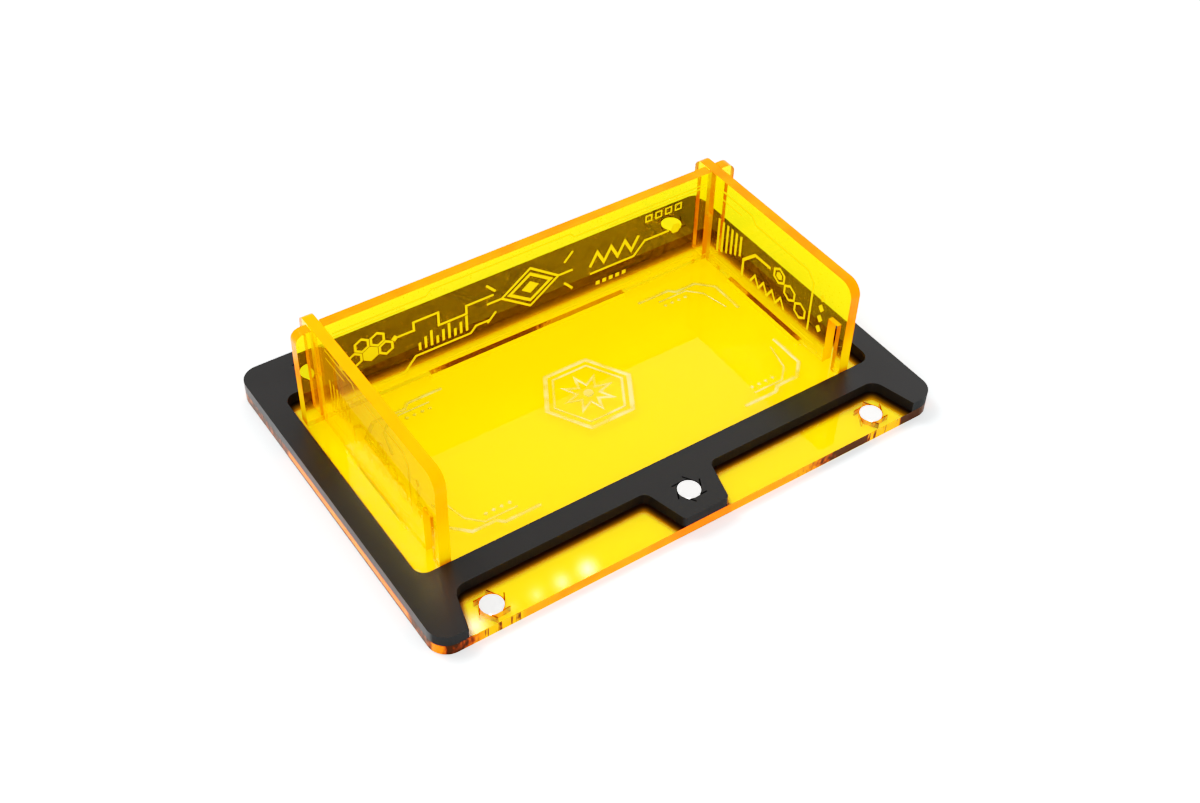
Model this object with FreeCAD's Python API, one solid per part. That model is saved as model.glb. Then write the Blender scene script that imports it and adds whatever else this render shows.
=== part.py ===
import FreeCAD, Part
import math
import os

# Driving dimensions, in millimetres. The object is cut from flat acrylic sheet.

# The sheet, and the outline that both plates share
sheet = 3.0
plate_width = 145.0
plate_depth = 101.0
plate_corner = 5.0

# Cement film between the plates, and the air film under the walls' feet
cement_film = 0.03
foot_film = 0.03

# Window and rails of the upper plate
side_rail = 6.0
front_rail = 6.9
rear_rail = 14.2
window_corner = 3.0

# Lap joint along the front: two notches between corner feet and a middle tongue
lap_depth = 11.7
foot_width = 7.8
tongue_width = 12.8
lap_slope = 15.0
foot_fillet = 3.5
tongue_fillet = 2.2
tongue_corner = 1.2

# Disc magnets, and the slits that let the sheet spring open round each one
magnet_diameter = 6.0
magnet_height = 2.9
magnet_edge = 0.15
magnet_clearance = 0.05
corner_magnet_from_side = 16.75
corner_magnet_from_front = 5.3
tongue_magnet_from_front = 7.2
rear_magnet_from_side = 16.2
rear_magnet_from_rear = 7.6
slit_count = 6
slit_length = 2.1
slit_width = 0.3
slit_first_angle = 50.0
slit_lean = 72.0

# Walls: height over the lower plate, and where they stand
wall_height = 29.4
side_wall_from_side = 12.1
side_wall_from_front = 20.2
back_wall_from_rear = 20.85
wall_overrun = 4.5
rear_corner = 2.5
front_corner = 4.0

# Halving slots at the crossings, and the spare slot at the front of each side wall
slot_clearance = 0.2
halving_gap = 0.15
spare_slot_from_end = 3.0

# Tabs under the walls, and the slots in the lower plate that hold them
back_tab_length = 60.0
side_tab_length = 30.4
side_tab_from_front = 36.3
tab_recess = 0.2
tab_clearance = 0.1

# Places worked out from the driving dimensions, with the origin under the middle of the plates
half_width = plate_width / 2
front = -plate_depth / 2
rear = plate_depth / 2
frame_foot = sheet + cement_film
wall_foot = sheet + foot_film
wall_top = wall_foot + wall_height
tab_foot = tab_recess
halving_level = wall_foot + wall_height / 2
side_outer = half_width - side_wall_from_side
side_inner = side_outer - sheet
back_rear = rear - back_wall_from_rear
back_front = back_rear - sheet
side_front = front + side_wall_from_front
side_rear = back_rear + wall_overrun
back_end = side_outer + wall_overrun
side_tab_front = front + side_tab_from_front
side_tab_rear = side_tab_front + side_tab_length
back_tab_end = back_tab_length / 2
wall_slot_width = sheet + 2 * slot_clearance


# Turns a list of corners (u, v, radius) into one closed wire of lines and tangent arcs.
# Each radius rounds its own corner, and place(u, v) sets the flat outline in space.
def outline(corners, place):
    count = len(corners)
    starts, middles, ends = [], [], []
    for index in range(count):
        u, v, radius = corners[index]
        before = corners[index - 1]
        after = corners[(index + 1) % count]
        corner = FreeCAD.Vector(u, v, 0)
        to_before = (FreeCAD.Vector(before[0], before[1], 0) - corner).normalize()
        to_after = (FreeCAD.Vector(after[0], after[1], 0) - corner).normalize()
        half_angle = to_before.getAngle(to_after) / 2
        reach = radius / math.tan(half_angle)
        inward = (to_before + to_after).normalize()
        centre = corner + inward * (radius / math.sin(half_angle))
        starts.append(corner + to_before * reach)
        middles.append(centre - inward * radius)
        ends.append(corner + to_after * reach)

    def spot(flat):
        return place(flat.x, flat.y)

    edges = []
    for index in range(count):
        following = (index + 1) % count
        if corners[index][2] > 0:
            arc = Part.Arc(spot(starts[index]), spot(middles[index]), spot(ends[index]))
            edges.append(arc.toShape())
        edges.append(Part.LineSegment(spot(ends[index]), spot(starts[following])).toShape())
    return Part.Wire(edges)


# Cuts one piece out of sheet: the outline's face, thickened along one direction.
def cut_from_sheet(corners, place, through):
    return Part.Face(outline(corners, place)).extrude(through)


# A plate lying flat with its underside at the given level.
def flat_piece(corners, level, thickness):
    return cut_from_sheet(corners, lambda u, v: FreeCAD.Vector(u, v, level), FreeCAD.Vector(0, 0, thickness))


# Four corners of a rectangle, all rounded alike.
def rectangle(u_low, u_high, v_low, v_high, radius=0.0):
    return [(u_low, v_low, radius), (u_high, v_low, radius), (u_high, v_high, radius), (u_low, v_high, radius)]


# Four sharp corners that step an outline in or out between two places along one edge.
def step(u_from, u_to, v_edge, v_depth):
    return [(u_from, v_edge, 0), (u_from, v_depth, 0), (u_to, v_depth, 0), (u_to, v_edge, 0)]


# A press-in magnet's hole with its ring of leaning slits, as one cutter through the sheet.
def magnet_cutter(x, y, level):
    radius = magnet_diameter / 2 + magnet_clearance
    axis = FreeCAD.Vector(0, 0, 1)
    hole = Part.makeCylinder(radius, sheet, FreeCAD.Vector(x, y, level))
    slits = []
    for index in range(slit_count):
        slit = Part.makeBox(slit_length + slit_width, slit_width, sheet)
        slit.translate(FreeCAD.Vector(-slit_width, -slit_width / 2, level))
        slit.rotate(FreeCAD.Vector(0, 0, 0), axis, slit_lean)
        slit.translate(FreeCAD.Vector(radius, 0, 0))
        slit.rotate(FreeCAD.Vector(0, 0, 0), axis, slit_first_angle + index * 360.0 / slit_count)
        slit.translate(FreeCAD.Vector(x, y, 0))
        slits.append(slit)
    return hole.multiFuse(slits)


# A disc magnet with both rims bevelled, seated at the foot of its hole.
def magnet(x, y, level):
    disc = Part.makeCylinder(magnet_diameter / 2, magnet_height, FreeCAD.Vector(x, y, level))
    rims = [edge for edge in disc.Edges if edge.Closed]
    return disc.makeChamfer(magnet_edge, rims)


# Magnet places: name, x, y and the level of the sheet that holds it
corner_magnet_x = half_width - corner_magnet_from_side
rear_magnet_x = half_width - rear_magnet_from_side
magnet_places = [
    ("front_left_magnet", -corner_magnet_x, front + corner_magnet_from_front, 0),
    ("front_right_magnet", corner_magnet_x, front + corner_magnet_from_front, 0),
    ("tongue_magnet", 0, front + tongue_magnet_from_front, frame_foot),
    ("rear_left_magnet", -rear_magnet_x, rear - rear_magnet_from_rear, frame_foot),
    ("rear_right_magnet", rear_magnet_x, rear - rear_magnet_from_rear, frame_foot),
]


def cut_magnet_holes(plate, level):
    for name, x, y, held_at in magnet_places:
        if held_at == level:
            plate = plate.cut(magnet_cutter(x, y, held_at))
    return plate


# A slot through the lower plate for one tab, wider all round by the tab clearance.
def tab_slot(x_low, x_high, y_low, y_high):
    gap = tab_clearance
    return flat_piece(rectangle(x_low - gap, x_high + gap, y_low - gap, y_high + gap), 0, sheet)


# The clear lower plate: full outline, three tab slots and two magnet holes.
def make_base_plate():
    plate = flat_piece(rectangle(-half_width, half_width, front, rear, plate_corner), 0, sheet)
    plate = plate.cut(tab_slot(-back_tab_end, back_tab_end, back_front, back_rear))
    plate = plate.cut(tab_slot(side_inner, side_outer, side_tab_front, side_tab_rear))
    plate = plate.cut(tab_slot(-side_outer, -side_inner, side_tab_front, side_tab_rear))
    return cut_magnet_holes(plate, 0)


# The black upper plate: same outline, with the lap notches, the window and three magnet holes.
def make_frame_plate():
    lap_back = front + lap_depth
    slant = lap_depth * math.tan(math.radians(lap_slope))
    foot_edge = half_width - foot_width
    tongue_edge = tongue_width / 2
    right_half = [
        (tongue_edge, front, tongue_corner),
        (tongue_edge + slant, lap_back, tongue_fillet),
        (foot_edge - slant, lap_back, foot_fillet),
        (foot_edge, front, 0),
        (half_width, front, plate_corner),
        (half_width, rear, plate_corner),
    ]
    left_half = [(-x, y, radius) for x, y, radius in reversed(right_half)]
    plate = flat_piece(right_half + left_half, frame_foot, sheet)
    window_edge = half_width - side_rail
    window = rectangle(-window_edge, window_edge, lap_back + front_rail, rear - rear_rail, window_corner)
    plate = plate.cut(flat_piece(window, frame_foot, sheet))
    return cut_magnet_holes(plate, frame_foot)


# The back wall: one tab below, and two halving slots that open upwards for the side walls.
def make_back_wall():
    slot_near = side_inner - slot_clearance
    slot_far = side_outer + slot_clearance
    slot_floor = halving_level - halving_gap
    corners = [(-back_end, wall_foot, 0)]
    corners += step(-back_tab_end, back_tab_end, wall_foot, tab_foot)
    corners += [(back_end, wall_foot, 0), (back_end, wall_top, rear_corner)]
    corners += step(slot_far, slot_near, wall_top, slot_floor)
    corners += step(-slot_near, -slot_far, wall_top, slot_floor)
    corners += [(-back_end, wall_top, rear_corner)]
    return cut_from_sheet(corners, lambda u, v: FreeCAD.Vector(u, back_front, v), FreeCAD.Vector(0, sheet, 0))


# A side wall: one tab below, the halving slot over the back wall, and the spare slot in front.
def make_side_wall(inner_face):
    slot_roof = halving_level + halving_gap
    spare_start = side_front + spare_slot_from_end
    corners = [(side_front, wall_foot, 0)]
    corners += step(spare_start, spare_start + wall_slot_width, wall_foot, slot_roof)
    corners += step(side_tab_front, side_tab_rear, wall_foot, tab_foot)
    corners += step(back_front - slot_clearance, back_rear + slot_clearance, wall_foot, slot_roof)
    corners += [(side_rear, wall_foot, 0), (side_rear, wall_top, rear_corner)]
    corners += [(side_front, wall_top, front_corner)]
    return cut_from_sheet(corners, lambda u, v: FreeCAD.Vector(inner_face, u, v), FreeCAD.Vector(sheet, 0, 0))


pieces = {
    "base_plate": make_base_plate(),
    "frame_plate": make_frame_plate(),
    "back_wall": make_back_wall(),
    "left_wall": make_side_wall(-side_outer),
    "right_wall": make_side_wall(side_inner),
}
for name, x, y, held_at in magnet_places:
    pieces[name] = magnet(x, y, held_at)

os.makedirs("parts", exist_ok=True)
for name, shape in pieces.items():
    shape.exportStep("parts/" + name + ".step")
    box = shape.BoundBox
    print(name, shape.isValid(), len(shape.Solids), round(shape.Volume, 1), len(shape.Faces),
          [round(value, 2) for value in (box.XMin, box.XMax, box.YMin, box.YMax, box.ZMin, box.ZMax)])
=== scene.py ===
"""The looks of an open-fronted dice tray: clear yellow and black sheet, nickel magnets, engraved lines."""
import math

import bpy
import numpy as np
from mathutils import Matrix, Vector


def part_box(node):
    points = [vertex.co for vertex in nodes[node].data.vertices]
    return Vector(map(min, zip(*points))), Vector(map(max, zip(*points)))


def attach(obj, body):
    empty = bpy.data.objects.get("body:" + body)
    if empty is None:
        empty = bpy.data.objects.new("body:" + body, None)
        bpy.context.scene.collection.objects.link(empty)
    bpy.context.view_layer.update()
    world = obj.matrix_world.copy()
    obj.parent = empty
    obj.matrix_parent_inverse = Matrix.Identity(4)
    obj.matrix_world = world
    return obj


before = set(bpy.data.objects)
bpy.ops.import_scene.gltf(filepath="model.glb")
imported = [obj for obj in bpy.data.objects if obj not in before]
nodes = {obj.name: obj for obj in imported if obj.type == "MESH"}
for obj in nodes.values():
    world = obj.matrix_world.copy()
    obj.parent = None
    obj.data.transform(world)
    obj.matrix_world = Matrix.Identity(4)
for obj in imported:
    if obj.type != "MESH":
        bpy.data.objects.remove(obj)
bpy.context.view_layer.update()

MM = 0.001
X, Y, Z = range(3)

# The lowest and the highest corner of each sheet, read from the frame, in metres
floor_low, floor_high = (np.array(corner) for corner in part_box("base_plate"))
rim_low, rim_high = (np.array(corner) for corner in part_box("frame_plate"))
back_low, back_high = (np.array(corner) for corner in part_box("back_wall"))
left_low, left_high = (np.array(corner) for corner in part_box("left_wall"))
right_low, right_high = (np.array(corner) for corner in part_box("right_wall"))

# The camera's place was solved from the straight edges in the photograph, 1200 pixels wide
PHOTO_WIDTH = 1200
FOCAL_PIXELS = 1577.5
AZIMUTH, ELEVATION, ROLL = -0.6187, 0.7719, 0.0325
DISTANCE = 402.06 * MM
TARGET = Vector((2.4702, -2.3602, 0.0)) * MM
BACKWARD = Vector((math.sin(AZIMUTH) * math.cos(ELEVATION), -math.cos(AZIMUTH) * math.cos(ELEVATION),
                   math.sin(ELEVATION)))
VIEWPOINT = TARGET + BACKWARD * DISTANCE


class Wire:
    """A shader socket that takes part in sums: each operator adds one Math node."""

    def __init__(self, paint, socket):
        self.paint = paint
        self.socket = socket

    def math(self, operation, *values):
        """One Math node with this wire as its first value."""
        return self.paint.node("ShaderNodeMath", {"operation": operation}, dict(enumerate((self,) + values)))

    def __add__(self, other):
        return self.math("ADD", other)

    def __sub__(self, other):
        return self.math("SUBTRACT", other)

    def __rsub__(self, other):
        return self.math("MULTIPLY_ADD", -1.0, other)

    def __mul__(self, other):
        return self.math("MULTIPLY", other)

    def __abs__(self):
        return self.math("ABSOLUTE")

    __radd__ = __add__
    __rmul__ = __mul__

    def rise(self, start, end):
        """0 before start, 1 past end, smooth between them."""
        sockets = {"Value": self, "From Min": start, "From Max": end}
        return self.paint.node("ShaderNodeMapRange", {"interpolation_type": "SMOOTHSTEP"}, sockets)

    def band(self, start, end, soft):
        """1 from start to end, smooth on both sides."""
        return self.rise(start - soft, start + soft) * (1 - self.rise(end - soft, end + soft))


class Paint:
    """A node tree. node() adds any node and gives back one of its outputs as a Wire."""

    def __init__(self, tree, place="Object"):
        self.tree = tree
        tree.nodes.clear()
        self.place = self.node("ShaderNodeTexCoord", {}, {}, place)
        self.x, self.y, self.z = (self.node("ShaderNodeSeparateXYZ", {}, {"Vector": self.place}, axis)
                                  for axis in "XYZ")

    def node(self, kind, settings, sockets, output=0):
        """Adds a node, sets it up, and joins or sets its sockets."""
        made = self.tree.nodes.new(kind)
        for name, value in settings.items():
            setattr(made, name, value)
        for name, value in sockets.items():
            if isinstance(value, Wire):
                self.tree.links.new(value.socket, made.inputs[name])
            else:
                made.inputs[name].default_value = value
        return Wire(self, made.outputs[output])

    def noise(self, scale, detail=2.0, place=None):
        """Smooth noise between 0 and 1, at the point itself or at another place."""
        sockets = {"Vector": place or self.place, "Scale": scale, "Detail": detail}
        return self.node("ShaderNodeTexNoise", {}, sockets)

    def stretched(self, x, y, z):
        """The place with each coordinate multiplied by its own number, for grain along one direction."""
        return self.node("ShaderNodeVectorMath", {"operation": "MULTIPLY"}, {0: self.place, 1: (x, y, z)})

    def mix(self, share, first, second):
        """A colour between first and second."""
        return self.node("ShaderNodeMix", {"data_type": "RGBA"}, {0: share, 6: first, 7: second}, 2)

    def blend(self, share, first, second):
        """A shader between first and second."""
        return self.node("ShaderNodeMixShader", {}, {0: share, 1: first, 2: second})

    def bump(self, height, depth):
        """A normal that follows height, which is depth metres high where it is 1."""
        return self.node("ShaderNodeBump", {}, {"Height": height, "Distance": depth, "Strength": 1.0})

    def surface(self, **sockets):
        """A Principled shader, its sockets named with underscores for spaces."""
        return self.node("ShaderNodeBsdfPrincipled", {}, {name.replace("_", " "): value
                                                          for name, value in sockets.items()})


def paint_material(name, recipe, *measures):
    """A material. recipe(paint, *measures) fills its tree and gives back a surface, and a volume or None."""
    material = bpy.data.materials.new(name)
    material.use_nodes = True
    paint = Paint(material.node_tree)
    surface, volume = recipe(paint, *measures)
    sockets = {"Surface": surface, "Volume": volume} if volume else {"Surface": surface}
    made = material.node_tree.nodes.new("ShaderNodeOutputMaterial")
    for socket, wire in sockets.items():
        material.node_tree.links.new(wire.socket, made.inputs[socket])
    return material


# Colours of the dyed sheet. A sheen tints what its faces mirror; a painted glow is light it gives out, though
# it is no lamp.
SHEET_TINT = (1.0, 0.90, 0.85, 1.0)
FLOOR_SHEEN = (1.0, 0.80, 0.70, 1.0)
# Painted shade: the walls' sheens are lower than the floor's, so they mirror less light, and the side walls
# mirror least.
BACK_SHEEN = (0.7, 0.56, 0.49, 1.0)
SIDE_SHEEN = (0.2, 0.16, 0.14, 1.0)
EDGE_SHEEN = (1.0, 0.4, 0.0, 1.0)
EDGE_ORANGE = (1.0, 0.165, 0.0, 1.0)
EDGE_AMBER = (1.0, 0.22, 0.0, 1.0)
EDGE_YELLOW = (1.0, 0.6, 0.0, 1.0)
# Painted shade: this brown stands for the dark seen through the lower plate's edges where cement and black
# lie behind.
EDGE_SHADE_BROWN = (0.05, 0.016, 0.004, 1.0)
EDGE_PAINTED_GLOW = (0.28, 0.05, 0.0, 1.0)
FLOOR_PAINTED_GLOW = (0.28, 0.17, 0.0, 1.0)
WALL_PAINTED_GLOW = (0.02, 0.012, 0.0, 1.0)
# Painted light: the left wall glows more strongly, so it comes out lighter than the other walls.
LEFT_PAINTED_GLOW = (0.16, 0.07, 0.0, 1.0)
NO_PAINTED_GLOW = (0.0, 0.0, 0.0, 1.0)

# The colour that passes through the dye, and how strongly the dye takes the rest
DYE_COLOUR = (0.9995, 0.982, 0.0, 1.0)
DYE_DENSITY = 1000.0

# Refractive index of acrylic, and shares of frost: on a cut edge, more where it is brown and less in a slot
ACRYLIC_INDEX = 1.49
EDGE_FROST = 0.8
BROWN_FROST = 0.17
SLOT_CLEARNESS = 0.6
DUST_FROST = 0.35

# Roughness of the smudges on a face, and of a cut edge: its own and what the laser lines add
SMUDGE_ROUGHNESS = 0.03
EDGE_ROUGHNESS = 0.22
LINE_ROUGHNESS = 0.2
EDGE_GLOSS = 0.25

# Depth of the laser lines, and how far inside the planes of the two faces a point lies to be on a cut edge
LINE_DEPTH = 0.01 * MM
FACE_SKIN = 0.01 * MM

# Noise scales, per metre: a higher number is a finer grain
SMUDGE_GRAIN = 70.0
CLOUD_GRAIN = 160.0
DUST_GRAIN = 2200.0
LINE_GRAIN_ACROSS = 2500.0
LINE_GRAIN_ALONG = 150.0
STREAK_GRAIN = (1100.0, 1100.0, 60.0)
SPECKLE_GRAIN = (1100.0, 700.0, 500.0)

# The black plate's window and its two front notches, measured from the middle of the tray
WINDOW_SIDE = 66.5 * MM
WINDOW_FRONT = -31.9 * MM
WINDOW_REAR = 36.3 * MM
PLATE_FRONT = -50.5 * MM
NOTCH_REAR = -38.8 * MM
NOTCH_INNER = 6.4 * MM
NOTCH_OUTER = 64.7 * MM
NOTCH_SLOPE = math.tan(math.radians(15))

# The middle of each corner magnet, and the ring round it that its slits reach
MAGNET_X = 55.75 * MM
MAGNET_Y = -45.2 * MM
SLITS_FROM, SLITS_TO = 3.2 * MM, 5.2 * MM


def cut_edge(paint, through, low, high):
    """1 on a sheet's cut edges and 0 on its two faces: the point lies between the planes of the faces.
    The axis numbered through runs across the sheet, and low and high are the corners of its box."""
    along = (paint.x, paint.y, paint.z)[through]
    half = (high[through] - low[through]) / 2 - FACE_SKIN
    return 1 - abs(along - (high[through] + low[through]) / 2).math("GREATER_THAN", half)


def laser_lines(paint, through):
    """Fine lines that the cutting leaves on an edge. They run along the axis that goes through the sheet."""
    grain = [LINE_GRAIN_ALONG if axis == through else LINE_GRAIN_ACROSS for axis in (X, Y, Z)]
    return paint.noise(1.0, 2.0, paint.stretched(*grain))


def away_from_rim(paint):
    """1 in the tray and 0 near the outer edges of the plates."""
    return (1 - abs(paint.x).rise(66 * MM, 67 * MM)) * (1 - abs(paint.y).rise(40 * MM, 41 * MM))


def beside_magnet(paint):
    """1 on the stretches of the front edge beside the two corner magnets, where no cement lies."""
    return abs(paint.x).band(50.5 * MM, 61 * MM, 0.8 * MM) * (1 - paint.y.rise(-50 * MM, -49 * MM))


def under_rim(paint):
    """1 where the black plate covers the lower one, fading out near the edges of its window and notches;
    painted shade goes there.
    """
    x, y = abs(paint.x), paint.y
    near, far = 0.2 * MM, 2.6 * MM
    window = 1 - x.rise(WINDOW_SIDE - far, WINDOW_SIDE - near)
    window = window * y.rise(WINDOW_FRONT + near, WINDOW_FRONT + far)
    window = window * (1 - y.rise(WINDOW_REAR - far, WINDOW_REAR - near))
    slant = (y - PLATE_FRONT) * NOTCH_SLOPE
    notch = (x - slant).rise(NOTCH_INNER + near, NOTCH_INNER + far)
    notch = notch * (1 - (x + slant).rise(NOTCH_OUTER - far, NOTCH_OUTER - near))
    notch = notch * (1 - y.rise(NOTCH_REAR - far, NOTCH_REAR - near))
    return 1 - window - notch


def outer_edge_shade(paint):
    """Shares of brown painted shade on the lower plate's four outer edges, seen most where cement and black
    lie behind, and low on the sides.
    """
    x, y, z = paint.x, paint.y, paint.z
    clear = beside_magnet(paint)
    streaks = paint.noise(1.0, 1.0, paint.stretched(*STREAK_GRAIN)).rise(0.5, 0.57)
    right_run = x.rise(14 * MM, 50 * MM) * (1 - clear)
    left_corner = (1 - x.rise(-67 * MM, -58 * MM)) * 0.8
    front_edge = 1 - y.rise(-50 * MM, -48 * MM)
    side_edge = abs(x).rise(72.0 * MM, 72.4 * MM)
    side_middle = y.band(-37 * MM, 22 * MM, 1.5 * MM)
    side_line = 0.9 - 0.9 * z.rise(0.6 * MM, 0.9 * MM)
    rear_edge = y.rise(50 * MM, 50.4 * MM)
    front_run = (right_run + left_corner) * front_edge + clear * streaks * 0.65
    side_run = side_edge * (0.75 - side_middle * (0.7 - side_line))
    rear_run = rear_edge * (0.4 + 0.6 * abs(x).rise(10 * MM, 50 * MM))
    return front_run + side_run + rear_run


def slot_shade(paint):
    """Shares of brown painted shade in the lower plate's tab slots and in the slits round its two magnets."""
    x, y, z = paint.x, paint.y, paint.z
    upper_part = z.rise(0.4 * MM, 0.8 * MM)
    wall_slots = y.band(29.5 * MM, 30 * MM, 0.1 * MM) * x.band(-28 * MM, 6 * MM, 7 * MM) * upper_part
    side_slots = abs(x).band(60.4 * MM, 61 * MM, 0.1 * MM) * y.band(-13 * MM, 10 * MM, 3 * MM) * upper_part
    across, along = abs(x) - MAGNET_X, y - MAGNET_Y
    slits = (across * across + along * along).math("SQRT").band(SLITS_FROM, SLITS_TO, 0.05 * MM)
    return wall_slots * 0.85 + side_slots * 0.85 + slits * 0.55


def floor_edge_shade(paint):
    """Brown mottling of painted shade on the lower plate's cut edges: the shares of brown, broken up by
    specks.
    """
    share = (outer_edge_shade(paint) + slot_shade(paint)).math("MINIMUM", 1.0)
    specks = (paint.noise(1.0, 3.0, paint.stretched(*SPECKLE_GRAIN)) - 0.5) * 1.35
    half_stained = 1 - abs(share * 2 - 1) * 0.8
    return (share + specks * half_stained).rise(0.25, 0.8)


def sheet_face(paint, sheen, painted_glow):
    """A polished face of the clear sheet, with faint smudges and a painted glow."""
    smudge = paint.noise(SMUDGE_GRAIN, 4.0).rise(0.5, 0.8)
    return paint.surface(
        Base_Color=SHEET_TINT, Roughness=smudge * SMUDGE_ROUGHNESS, IOR=ACRYLIC_INDEX,
        Transmission_Weight=1.0, Specular_Tint=sheen, Emission_Color=painted_glow, Emission_Strength=1.0)


def sheet_edge(paint, through, edge, pale, brown=None):
    """The frosted finish of the clear sheet's cut edges: orange with laser lines and a painted glow. It is
    more yellow low down in the tray, at the crossings, beside the magnets, off the edges and by the share
    pale. Where brown is 1 it is painted brown, a painted shade, and loses its painted glow."""
    x, y, z = paint.x, paint.y, paint.z
    low_down = 1 - z.rise(8 * MM, 22 * MM)
    crossing = abs(x).band(56.8 * MM, 61.2 * MM, 0.2 * MM) * y.band(26 * MM, 30.3 * MM, 0.2 * MM)
    below_top = 1 - z.rise(32.2 * MM, 32.3 * MM)
    yellow = away_from_rim(paint) * low_down + crossing * below_top + beside_magnet(paint) * 0.45
    yellow = (yellow + (1 - edge)).math("MINIMUM", 1.0)
    orange = paint.mix(paint.noise(CLOUD_GRAIN).rise(0.35, 0.7), EDGE_ORANGE, EDGE_AMBER)
    colour = paint.mix(yellow * (1 - pale) + pale, orange, EDGE_YELLOW)
    painted_glow = EDGE_PAINTED_GLOW
    if brown:
        colour = paint.mix(brown, colour, EDGE_SHADE_BROWN)
        painted_glow = paint.mix(brown, EDGE_PAINTED_GLOW, NO_PAINTED_GLOW)
    lines = laser_lines(paint, through)
    return paint.surface(
        Base_Color=colour, Roughness=EDGE_ROUGHNESS + lines * LINE_ROUGHNESS, IOR=ACRYLIC_INDEX,
        Specular_IOR_Level=EDGE_GLOSS, Specular_Tint=EDGE_SHEEN, Emission_Color=painted_glow, Emission_Strength=1.0,
        Normal=paint.bump(lines, LINE_DEPTH))


def in_slot(paint):
    """1 on the parts of the sheets that lie within the lower plate's thickness, in the tray."""
    return away_from_rim(paint) * (1 - paint.z.rise(2.9 * MM, 3.1 * MM))


def frosted_share(paint, edge, frost):
    """How much of the frosted finish shows: frost on the cut edges, specks of dust on the upright faces."""
    dust = paint.noise(DUST_GRAIN, 0.0).rise(0.76, 0.82) * paint.z.rise(4 * MM, 9 * MM) * DUST_FROST
    return dust + edge * (frost - dust)


def dye(paint):
    """The yellow dye inside the sheet, which takes out the blue light on its way through."""
    return paint.node("ShaderNodeVolumeAbsorption", {}, {"Color": DYE_COLOUR, "Density": DYE_DENSITY})


def wall_sheet(paint, through, low, high, sheen, painted_glow, pale):
    """A wall of clear yellow sheet: glass-like faces and frosted orange cut edges."""
    edge = cut_edge(paint, through, low, high)
    frost = EDGE_FROST * (1 - in_slot(paint) * SLOT_CLEARNESS)
    share = frosted_share(paint, edge, frost)
    face = sheet_face(paint, sheen, painted_glow)
    return paint.blend(share, face, sheet_edge(paint, through, edge, pale)), dye(paint)


def floor_sheet(paint):
    """The lower plate: clear yellow sheet with brown painted shade on its cut edges, and where the black
    plate covers it a
    painted shade: a dark underside and no painted glow."""
    edge = cut_edge(paint, Z, floor_low, floor_high)
    covered = under_rim(paint)
    # Painted shade: under the black plate the underside turns dark brown, and the painted glow is taken away
    # there.
    underside_shade = covered * (1 - paint.z.rise(0.02 * MM, 0.06 * MM))
    brown = floor_edge_shade(paint).math("MAXIMUM", underside_shade)
    frost = EDGE_FROST * (1 - in_slot(paint) * (1 - brown) * SLOT_CLEARNESS) + brown * BROWN_FROST
    share = frosted_share(paint, edge, frost).math("MAXIMUM", underside_shade)
    face = sheet_face(paint, FLOOR_SHEEN, paint.mix(covered, FLOOR_PAINTED_GLOW, NO_PAINTED_GLOW))
    return paint.blend(share, face, sheet_edge(paint, Z, edge, 0.0, brown)), dye(paint)


# Colours of the black sheet: its faces, its cut edges in the tray (painted shade), and those at the tray's
# two sides (painted light)
BLACK_FACE = (0.009, 0.008, 0.0075, 1.0)
BLACK_PAINTED_SHADED_EDGE = (0.003, 0.003, 0.003, 1.0)
BLACK_PAINTED_LIT_SIDE = (0.010, 0.009, 0.008, 1.0)


def black_sheet(paint):
    """Opaque black sheet: satin faces with a faint haze; cut edges matt but at the two sides, painted shade
    in the tray and painted light at the sides.
    """
    edge = cut_edge(paint, Z, rim_low, rim_high)
    haze = paint.noise(60.0, 5.0).rise(0.3, 0.8)
    outer_side = abs(paint.x).rise(72.0 * MM, 72.4 * MM)
    edge_black = paint.mix(outer_side, BLACK_PAINTED_SHADED_EDGE, BLACK_PAINTED_LIT_SIDE)
    matt = edge * (1 - outer_side) * 0.3
    surface = paint.surface(
        Base_Color=paint.mix(edge, BLACK_FACE, edge_black),
        Roughness=0.3 + matt + haze * 0.05 + edge * laser_lines(paint, Z) * 0.1, IOR=1.54)
    return surface, None


def nickel(paint):
    """Bright nickel plate with a fine grain."""
    grain = paint.noise(900.0, 6.0)
    dull, bright = (0.86, 0.85, 0.83, 1.0), (0.94, 0.93, 0.91, 1.0)
    surface = paint.surface(
        Base_Color=paint.mix(grain, dull, bright), Roughness=0.16 + grain * 0.14, Metallic=1.0)
    return surface, None


def frosted_line(paint):
    """The scattering floor of a laser-engraved line, bright yellow with a fine raster and a painted glow."""
    raster = paint.noise(1.0, 1.0, paint.stretched(5000.0, 5000.0, 9000.0))
    dark, light, painted_glow = (0.66, 0.42, 0.0, 1.0), (0.74, 0.50, 0.01, 1.0), (0.40, 0.24, 0.0, 1.0)
    surface = paint.surface(
        Base_Color=paint.mix(raster, dark, light), Roughness=0.6, Emission_Color=painted_glow, Emission_Strength=1.0)
    return surface, None


def clear_line(paint):
    """A line on the floor: clear, with rounded flanks that catch the light, and a patchy pale frost."""
    grain = paint.noise(1500.0)
    clear = paint.surface(
        Base_Color=(1.0, 0.86, 0.25, 1.0), Roughness=0.08 + grain * 0.12, IOR=ACRYLIC_INDEX,
        Transmission_Weight=1.0)
    frost = paint.surface(Base_Color=(1.0, 0.80, 0.22, 1.0), Roughness=0.5)
    patches = paint.noise(150.0).rise(0.4, 0.65)
    return paint.blend(0.25 + 0.5 * patches, clear, frost), None


def dress(node, material):
    """Puts a material on one of the frame's own pieces."""
    for place in nodes[node].material_slots:
        place.material = material


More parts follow.
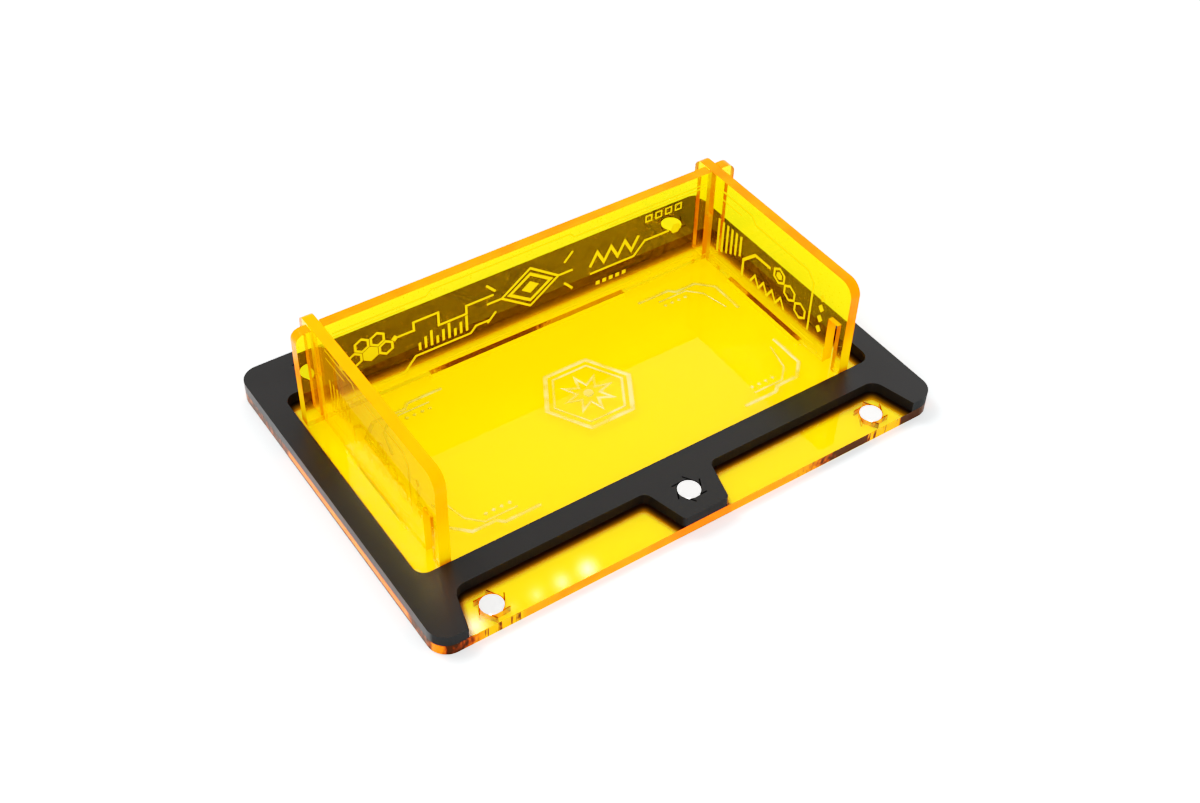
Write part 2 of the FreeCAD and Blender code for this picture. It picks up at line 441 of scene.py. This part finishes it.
# Each wall's material: the axis through the sheet, its box, its sheen and painted glow, and how yellow its
# edges are
WALLS = {
    "back_wall": (Y, back_low, back_high, BACK_SHEEN, WALL_PAINTED_GLOW, 0.06),
    "left_wall": (X, left_low, left_high, SIDE_SHEEN, LEFT_PAINTED_GLOW, 0.36),
    "right_wall": (X, right_low, right_high, SIDE_SHEEN, WALL_PAINTED_GLOW, 0.06),
}
for wall, measures in WALLS.items():
    dress(wall, paint_material(wall + "_sheet", wall_sheet, *measures))
dress("base_plate", paint_material("floor_sheet", floor_sheet))
dress("frame_plate", paint_material("black_sheet", black_sheet))
magnet_metal = paint_material("magnet_nickel", nickel)
for name in nodes:
    if name.endswith("_magnet"):
        dress(name, magnet_metal)


# Engraved lines. Flat shapes are drawn in millimetres on a sheet's own face, as u along it and v up or across
# it, and stand out from the face by a height of their own, because a line that lay in the face wouldn't show.
WALL_LINE_HEIGHT = 0.04
FLOOR_LINE_HEIGHT = 0.2
FACE_CLEARANCE = 0.01
FLAT_CROWN = 8
ROUND_CROWN = 2

# Widths of the lines, on the walls and on the floor
THIN, PLAIN, BOLD = 0.4, 0.62, 0.85
FLOOR_FINE, FLOOR_NARROW, FLOOR_STAR, FLOOR_PLAIN, FLOOR_BOLD = 0.7, 0.8, 0.9, 1.1, 1.3

# A hexagon turned so that a corner points up
CORNER_UP = math.pi / 6


def sideways(points, closed):
    """For each point of a path, the way to its left side: the mean of the two runs' left sides, lengthened so
    that a strip keeps its width round the corner."""
    before, after = np.roll(points, 1, 0), np.roll(points, -1, 0)
    if not closed:
        before[0] = 2 * points[0] - points[1]
        after[-1] = 2 * points[-1] - points[-2]
    runs_in, runs_out = points - before, after - points
    left_in, left_out = (np.stack([-run[:, 1], run[:, 0]], 1) / np.linalg.norm(run, axis=1, keepdims=True)
                         for run in (runs_in, runs_out))
    middle = left_in + left_out
    return middle / (middle * left_in).sum(1, keepdims=True)


def line_strip(points, width, height, crown, closed):
    """A raised line: a low profile carried along a path. Across the line t runs from -1 to 1, and the profile
    is height times (1 - |t| to the power crown), so a high crown is flat-topped and 2 is round."""
    points = np.array(points, float)
    across = np.linspace(-1, 1, 9) if crown == ROUND_CROWN else np.array([-1, -0.94, -0.8, 0, 0.8, 0.94, 1])
    rise = height * (1 - np.abs(across) ** crown)
    spread = points[:, None, :] + sideways(points, closed)[:, None, :] * across[None, :, None] * width / 2
    lift = np.broadcast_to(rise[None, :, None], spread.shape[:2] + (1,))
    corners = np.concatenate([spread, lift], 2)
    count, wide = corners.shape[:2]
    rows = np.arange(count if closed else count - 1)[:, None]
    columns = np.arange(wide)[None, :]
    following, beside = (rows + 1) % count, (columns + 1) % wide
    quads = np.stack([rows * wide + columns, following * wide + columns, following * wide + beside,
                      rows * wide + beside], -1).reshape(-1, 4)
    faces = quads.tolist()
    if not closed:
        first = list(range(wide))
        faces += [first, [(count - 1) * wide + index for index in reversed(first)]]
    return corners.reshape(-1, 3), faces


def solid_shape(points, height):
    """A raised filled shape with sloping flanks: its outline at the face, and on top the same outline moved
    inwards by the height."""
    points = np.array(points, float)
    inner = points + sideways(points, True) * height
    count = len(points)
    corners = np.concatenate([np.column_stack([points, np.zeros(count)]),
                              np.column_stack([inner, np.full(count, height)])])
    ring = np.arange(count)
    following = (ring + 1) % count
    sides = np.stack([ring, following, following + count, ring + count], -1).tolist()
    return corners, sides + [list(range(count))[::-1], list(range(count, 2 * count))]


class Drawing:
    """The shapes of one engraving, all of one height. Its lines have profiles of one crown."""

    def __init__(self, height, crown):
        self.height = height
        self.crown = crown
        self.shapes = []

    def line(self, points, width, closed=False):
        """Adds a raised line along the points."""
        self.shapes.append(line_strip(points, width, self.height, self.crown, closed))

    def ring(self, points, width):
        """Adds a raised line that closes on itself."""
        self.line(points, width, True)

    def solid(self, points):
        """Adds a filled shape with the points as its corners."""
        self.shapes.append(solid_shape(points, self.height))


def polygon(u, v, radius, sides, turn=0.0):
    """The corners of a regular polygon: equal steps of angle round a circle."""
    angles = turn + np.arange(sides) * 2 * np.pi / sides
    return np.column_stack([u + radius * np.cos(angles), v + radius * np.sin(angles)])


def star(u, v, outer, inner, points):
    """A star: its radius changes between outer and inner at each half step of angle."""
    angles = np.arange(2 * points) * np.pi / points + np.pi / 2
    radii = np.where(np.arange(2 * points) % 2 == 0, outer, inner)
    return np.column_stack([u + radii * np.cos(angles), v + radii * np.sin(angles)])


def diamond(u, v, half_width, half_height):
    """The four corners of a diamond, from the right one round to the lowest."""
    return np.array([(u + half_width, v), (u, v + half_height), (u - half_width, v), (u, v - half_height)])


def bar(u, v, width, height):
    """The four corners of a small upright block, from the lower left one."""
    return np.array([(u, v), (u + width, v), (u + width, v + height), (u, v + height)])


def zigzag(u, v, step, height, count):
    """The corners of a zigzag that starts low: step apart, and every other one raised by height."""
    return [(u + index * step, v + height * (index % 2)) for index in range(count)]


def back_wall_drawing():
    """The back wall's own lines: a honeycomb, a stepped line over bars, nested diamonds and a zigzag."""
    wall = Drawing(WALL_LINE_HEIGHT, FLAT_CROWN)

    # Honeycomb at the left, with its second cell filled. Steps count cells along a row, and rows up.
    cell, row = 4.3, 0.866
    for number, (step_u, step_v) in enumerate([(0, 0), (1, 0), (0.5, 1), (1.5, 1), (2, 0)]):
        hexagon = polygon(-50.5 + step_u * cell, 18.2 + step_v * cell * row, 2.0, 6, CORNER_UP)
        if number == 1:
            wall.solid(hexagon)
        wall.ring(hexagon, PLAIN)

    # Stepped line over a row of bars
    wall.line([(-38.5, 20.0), (-34.0, 20.0), (-34.0, 22.6), (-27.0, 22.6), (-27.0, 18.4), (-19.0, 18.4),
               (-19.0, 21.0), (-11.0, 21.0)], PLAIN)
    wall.solid(diamond(-39.4, 20.0, 1.0, 1.0))
    wall.line([(-44.5, 7.4), (-37.5, 7.4), (-34.0, 11.4), (-18.0, 11.4), (-16.4, 13.2), (-12.5, 13.2)], PLAIN)
    for index in range(9):
        wall.solid(bar(-33.0 + index * 1.7, 12.8, 0.7, 2.4 + 1.3 * (index % 3)))

    # Nested diamonds in the middle, with short rays at both sides
    wall.ring(diamond(0, 18.6, 8.6, 6.2), PLAIN)
    wall.ring(diamond(0, 18.6, 6.2, 4.3), BOLD)
    wall.solid(diamond(0, 18.6, 2.6, 1.9))
    for side in (-1, 1):
        for start_u, start_v, end_v in ((8.9, 18.6, 18.6), (10.4, 15.2, 12.4), (10.4, 22.0, 24.8)):
            wall.line([(side * start_u, start_v), (side * 13.0, end_v)], PLAIN)

    # Zigzag, dots and squares at the right
    wall.line(zigzag(18.5, 17.0, 2.2, 4.0, 8), BOLD)
    wall.line([(18.5, 14.6), (32.5, 14.6), (36.0, 18.4), (44.0, 18.4)], PLAIN)
    for index in range(4):
        wall.ring(polygon(37.0 + index * 3.2, 25.4, 1.3, 4, math.pi / 4), THIN)
    wall.solid(polygon(46.2, 18.4, 1.7, 6))
    for index in range(5):
        wall.solid(bar(20.5 + index * 2.1, 10.0, 1.2, 1.2))

    # Thin double line under the top edge, and dashes along the foot
    wall.line([(-55.5, 29.3), (-30.0, 29.3), (-28.6, 30.7), (12.0, 30.7), (13.4, 29.3), (55.5, 29.3)], THIN)
    wall.line([(-55.5, 28.2), (-36.0, 28.2)], THIN)
    wall.line([(24.0, 28.2), (55.5, 28.2)], THIN)
    for start, end in ((-53, -46), (-30, -27.5), (-25.5, -6), (-3, 3), (7, 15), (17, 34), (37, 39), (41, 53)):
        wall.line([(start, 6.2), (end, 6.2)], THIN)
    return wall


def side_wall_drawing():
    """Both side walls' lines, measured from the back wall: bars, a stepped line, hexagons and peaks."""
    wall = Drawing(WALL_LINE_HEIGHT, FLAT_CROWN)
    wall.line([(4.0, 29.2), (17.5, 29.2), (19.5, 27.2), (41.0, 27.2), (43.5, 24.7), (43.5, 9.0)], PLAIN)
    wall.line([(4.0, 26.6), (13.5, 26.6)], THIN)
    for index in range(6):
        wall.solid(bar(4.4 + index * 1.9, 9.0 + index * 0.9, 0.8, 11.0 - index * 0.9))
    wall.line([(16.0, 8.0), (16.0, 13.5), (20.5, 18.0), (27.0, 18.0)], BOLD)
    for index in range(3):
        wall.ring(polygon(30.6 + index * 4.6, 18.0 - index * 2.6, 2.3, 6, CORNER_UP), PLAIN)
    wall.solid(polygon(30.6, 18.0, 1.2, 6, CORNER_UP))
    wall.line(zigzag(19.5, 8.6, 1.8, 3.0, 9), PLAIN)
    for index in range(4):
        wall.solid(diamond(47.4, 22.5 - index * 3.4, 1.0, 1.3))
    wall.line([(4.0, 6.2), (15.0, 6.2)], THIN)
    wall.line([(37.0, 6.2), (46.5, 6.2)], THIN)
    return wall


def in_corner(side_u, side_v, points):
    """Distances inwards from the outer corner of one of the floor's brackets, as places on the floor."""
    corner_u, corner_v, middle_v = 52.5, 23.5, -2.6
    return [(side_u * (corner_u - u), middle_v + side_v * (corner_v - v)) for u, v in points]


def floor_drawing():
    """The floor's lines: two hexagons round a star in the middle, and a bracket in each corner."""
    floor = Drawing(FLOOR_LINE_HEIGHT, ROUND_CROWN)
    badge_v = -0.7
    floor.ring(polygon(0, badge_v, 12.4, 6), FLOOR_BOLD)
    floor.ring(polygon(0, badge_v, 10.2, 6), FLOOR_NARROW)
    floor.ring(star(0, badge_v, 6.2, 3.0, 8), FLOOR_STAR)
    floor.solid(polygon(0, badge_v, 1.5, 8))

    # Brackets, each a long and a short line with a row of dots between them
    outer_line = [(22, 0), (12, 0), (10.5, 1.5), (4, 1.5), (0, 5.5), (0, 16)]
    inner_line = [(17, 2.6), (8, 2.6), (4.5, 6.1), (2.6, 14)]
    dots = [(9.5 + index * 2.2, 4.6) for index in range(4)]
    for side_u in (-1, 1):
        for side_v in (-1, 1):
            floor.line(in_corner(side_u, side_v, outer_line), FLOOR_PLAIN)
            floor.line(in_corner(side_u, side_v, inner_line), FLOOR_FINE)
            for u, v in in_corner(side_u, side_v, dots):
                floor.solid(diamond(u, v, 0.7, 0.7))
    return floor


def engrave(name, drawing, place, body, material, mirrored=False):
    """Joins a drawing's shapes into one piece. place(u, v, h) puts a point on the sheet, h out from its face.
    A mirrored place turns the faces inside out, so they are turned back."""
    corners, faces, total = [], [], 0
    for spots, ring in drawing.shapes:
        corners.append(spots)
        faces += [[index + total for index in face] for face in ring]
        total += len(spots)
    if mirrored:
        faces = [face[::-1] for face in faces]
    u, v, h = np.concatenate(corners).T
    set_out = np.stack(np.broadcast_arrays(*place(u, v, h + FACE_CLEARANCE)), 1) * MM
    mesh = bpy.data.meshes.new(name)
    mesh.from_pydata(set_out.tolist(), [], faces)
    mesh.update()
    mesh.materials.append(material)
    piece = bpy.data.objects.new(name, mesh)
    bpy.context.scene.collection.objects.link(piece)
    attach(piece, body)


line_light = paint_material("frosted_line", frosted_line)
line_clear = paint_material("clear_line", clear_line)
back_face, left_face, right_face, floor_face = (float(level) / MM for level in (
    back_low[Y], left_high[X], right_low[X], floor_high[Z]))
engrave("back_wall_engraving", back_wall_drawing(), lambda u, v, h: (u, back_face - h, v), "back", line_light)
engrave("right_wall_engraving", side_wall_drawing(), lambda u, v, h: (right_face - h, back_face - u, v),
        "right", line_light)
engrave("left_wall_engraving", side_wall_drawing(), lambda u, v, h: (left_face + h, back_face - u, v),
        "left", line_light, mirrored=True)
engrave("floor_engraving", floor_drawing(), lambda u, v, h: (u, v, floor_face + h), "tray", line_clear)


TABLE_WHITE = (0.855, 0.885, 0.893, 1.0)
TABLE_HALF = 3.0
TABLE_LEVEL = -0.1 * MM


def matt_white(paint):
    """The table's paint, slightly cool."""
    return paint.node("ShaderNodeBsdfDiffuse", {}, {"Color": TABLE_WHITE}), None


def table_top():
    """A matt white table just under the tray."""
    mesh = bpy.data.meshes.new("table_top")
    turns = ((-1, -1), (1, -1), (1, 1), (-1, 1))
    mesh.from_pydata([(x * TABLE_HALF, y * TABLE_HALF, TABLE_LEVEL) for x, y in turns], [], [(0, 1, 2, 3)])
    mesh.materials.append(paint_material("matt_white", matt_white))
    table = bpy.data.objects.new("table_top", mesh)
    bpy.context.scene.collection.objects.link(table)


# Light of the room: at its dimmer side behind the tray's left, and how much more there is on the other side
ROOM_LIGHT = 1.4
ROOM_LIGHT_ADDED = 0.65
DIMMER_UNTIL, BRIGHT_FROM = 0.28, 0.5

# Soft square lights: name, place, size in metres and power in watts
SOFT_LIGHTS = [
    ("key", (-0.3, 0.5, 0.9), 0.5, 8.0),
    ("fill", (-0.5, -0.7, 0.6), 0.6, 8.0),
]

# How often light may turn: through clear sheet, and from one mirroring face to the next
CLEAR_BOUNCES = 32
MIRROR_BOUNCES = 12

# Lamps that the camera sees mirrored in the left lap, on one line along it: the place on that line, the
# brightness, and how many degrees from its middle a lamp's light ends
LAMP_FADE = 3.0
LAMP_LINE = -48.5 * MM
LAMPS = [
    (-32.3 * MM, 30.0, 0.82),
    (-39.3 * MM, 17.0, 0.78),
    (-46.0 * MM, 9.0, 0.74),
    (-52.4 * MM, 4.0, 0.60),
    (-62.0 * MM, 30.0, 1.00),
]


def soft_light(name, place, size, power):
    """A square soft light that shines from place towards the middle of the tray."""
    data = bpy.data.lights.new(name, "AREA")
    data.size = size
    data.energy = power
    lamp = bpy.data.objects.new(name, data)
    lamp.location = place
    lamp.rotation_euler = (-Vector(place)).to_track_quat("-Z", "Y").to_euler()
    bpy.context.scene.collection.objects.link(lamp)


def mirrored_way(x, y):
    """The way that light comes from when the camera sees it mirrored at a place on the lap."""
    ray = Vector((x, y, float(floor_high[Z]))) - VIEWPOINT
    return Vector((ray.x, ray.y, -ray.z)).normalized()


def studio():
    """A bright white room, dimmer behind the tray's left side, with a row of small soft lamps. Out from its
    middle a lamp's light is brightness times (1 - the share of the way to its end) to the power LAMP_FADE."""
    world = bpy.data.worlds.new("studio")
    world.use_nodes = True
    sky = Paint(world.node_tree, "Generated")
    light = ROOM_LIGHT + ROOM_LIGHT_ADDED * sky.x.rise(DIMMER_UNTIL, BRIGHT_FROM)
    for x, brightness, end in LAMPS:
        sockets = {0: sky.place, 1: mirrored_way(x, LAMP_LINE)}
        nearness = sky.node("ShaderNodeVectorMath", {"operation": "DOT_PRODUCT"}, sockets, "Value")
        share = nearness.math("ARCCOSINE") * (1 / math.radians(end))
        light = light + (1 - share).math("MAXIMUM", 0.0).math("POWER", LAMP_FADE) * brightness
    background = sky.node("ShaderNodeBackground", {}, {"Color": (1, 1, 1, 1), "Strength": light})
    made = world.node_tree.nodes.new("ShaderNodeOutputWorld")
    world.node_tree.links.new(background.socket, made.inputs["Surface"])
    bpy.context.scene.world = world
    for measures in SOFT_LIGHTS:
        soft_light(*measures)
    cycles = bpy.context.scene.cycles
    cycles.max_bounces = CLEAR_BOUNCES
    cycles.transmission_bounces = CLEAR_BOUNCES
    cycles.glossy_bounces = MIRROR_BOUNCES


# The photograph's tone: blacks held down, bright colours eased in towards white. Pairs of light in and out.
WHITE_LIGHT = 1.85
TONE = [(0.05, 0.010), (0.13, 0.050), (0.3, 0.20), (0.6, 0.47), (1.0, 0.70), (1.4, 0.83)]
COMBINED_CURVE = 3


def photographic_tone():
    """Sets the tone curve, whose light in is measured as a share of the light that comes out white."""
    view = bpy.context.scene.view_settings
    view.view_transform = "Standard"
    view.use_curve_mapping = True
    mapping = view.curve_mapping
    mapping.white_level = (WHITE_LIGHT, WHITE_LIGHT, WHITE_LIGHT)
    for light_in, light_out in TONE:
        mapping.curves[COMBINED_CURVE].points.new(light_in / WHITE_LIGHT, light_out)
    mapping.update()


def camera():
    """The camera at the photograph's viewpoint, turned about its own axis by the roll."""
    right = Vector((math.cos(AZIMUTH), math.sin(AZIMUTH), 0))
    up = BACKWARD.cross(right)
    turned_right = math.cos(ROLL) * right + math.sin(ROLL) * up
    turned_up = math.cos(ROLL) * up - math.sin(ROLL) * right
    data = bpy.data.cameras.new("camera")
    data.sensor_width = 36.0
    data.lens = FOCAL_PIXELS * data.sensor_width / PHOTO_WIDTH
    data.clip_start = 0.01
    seen_from = bpy.data.objects.new("camera", data)
    turn = Matrix((turned_right, turned_up, BACKWARD)).transposed().to_4x4()
    seen_from.matrix_world = Matrix.Translation(VIEWPOINT) @ turn
    bpy.context.scene.collection.objects.link(seen_from)
    bpy.context.scene.camera = seen_from


table_top()
studio()
photographic_tone()
camera()
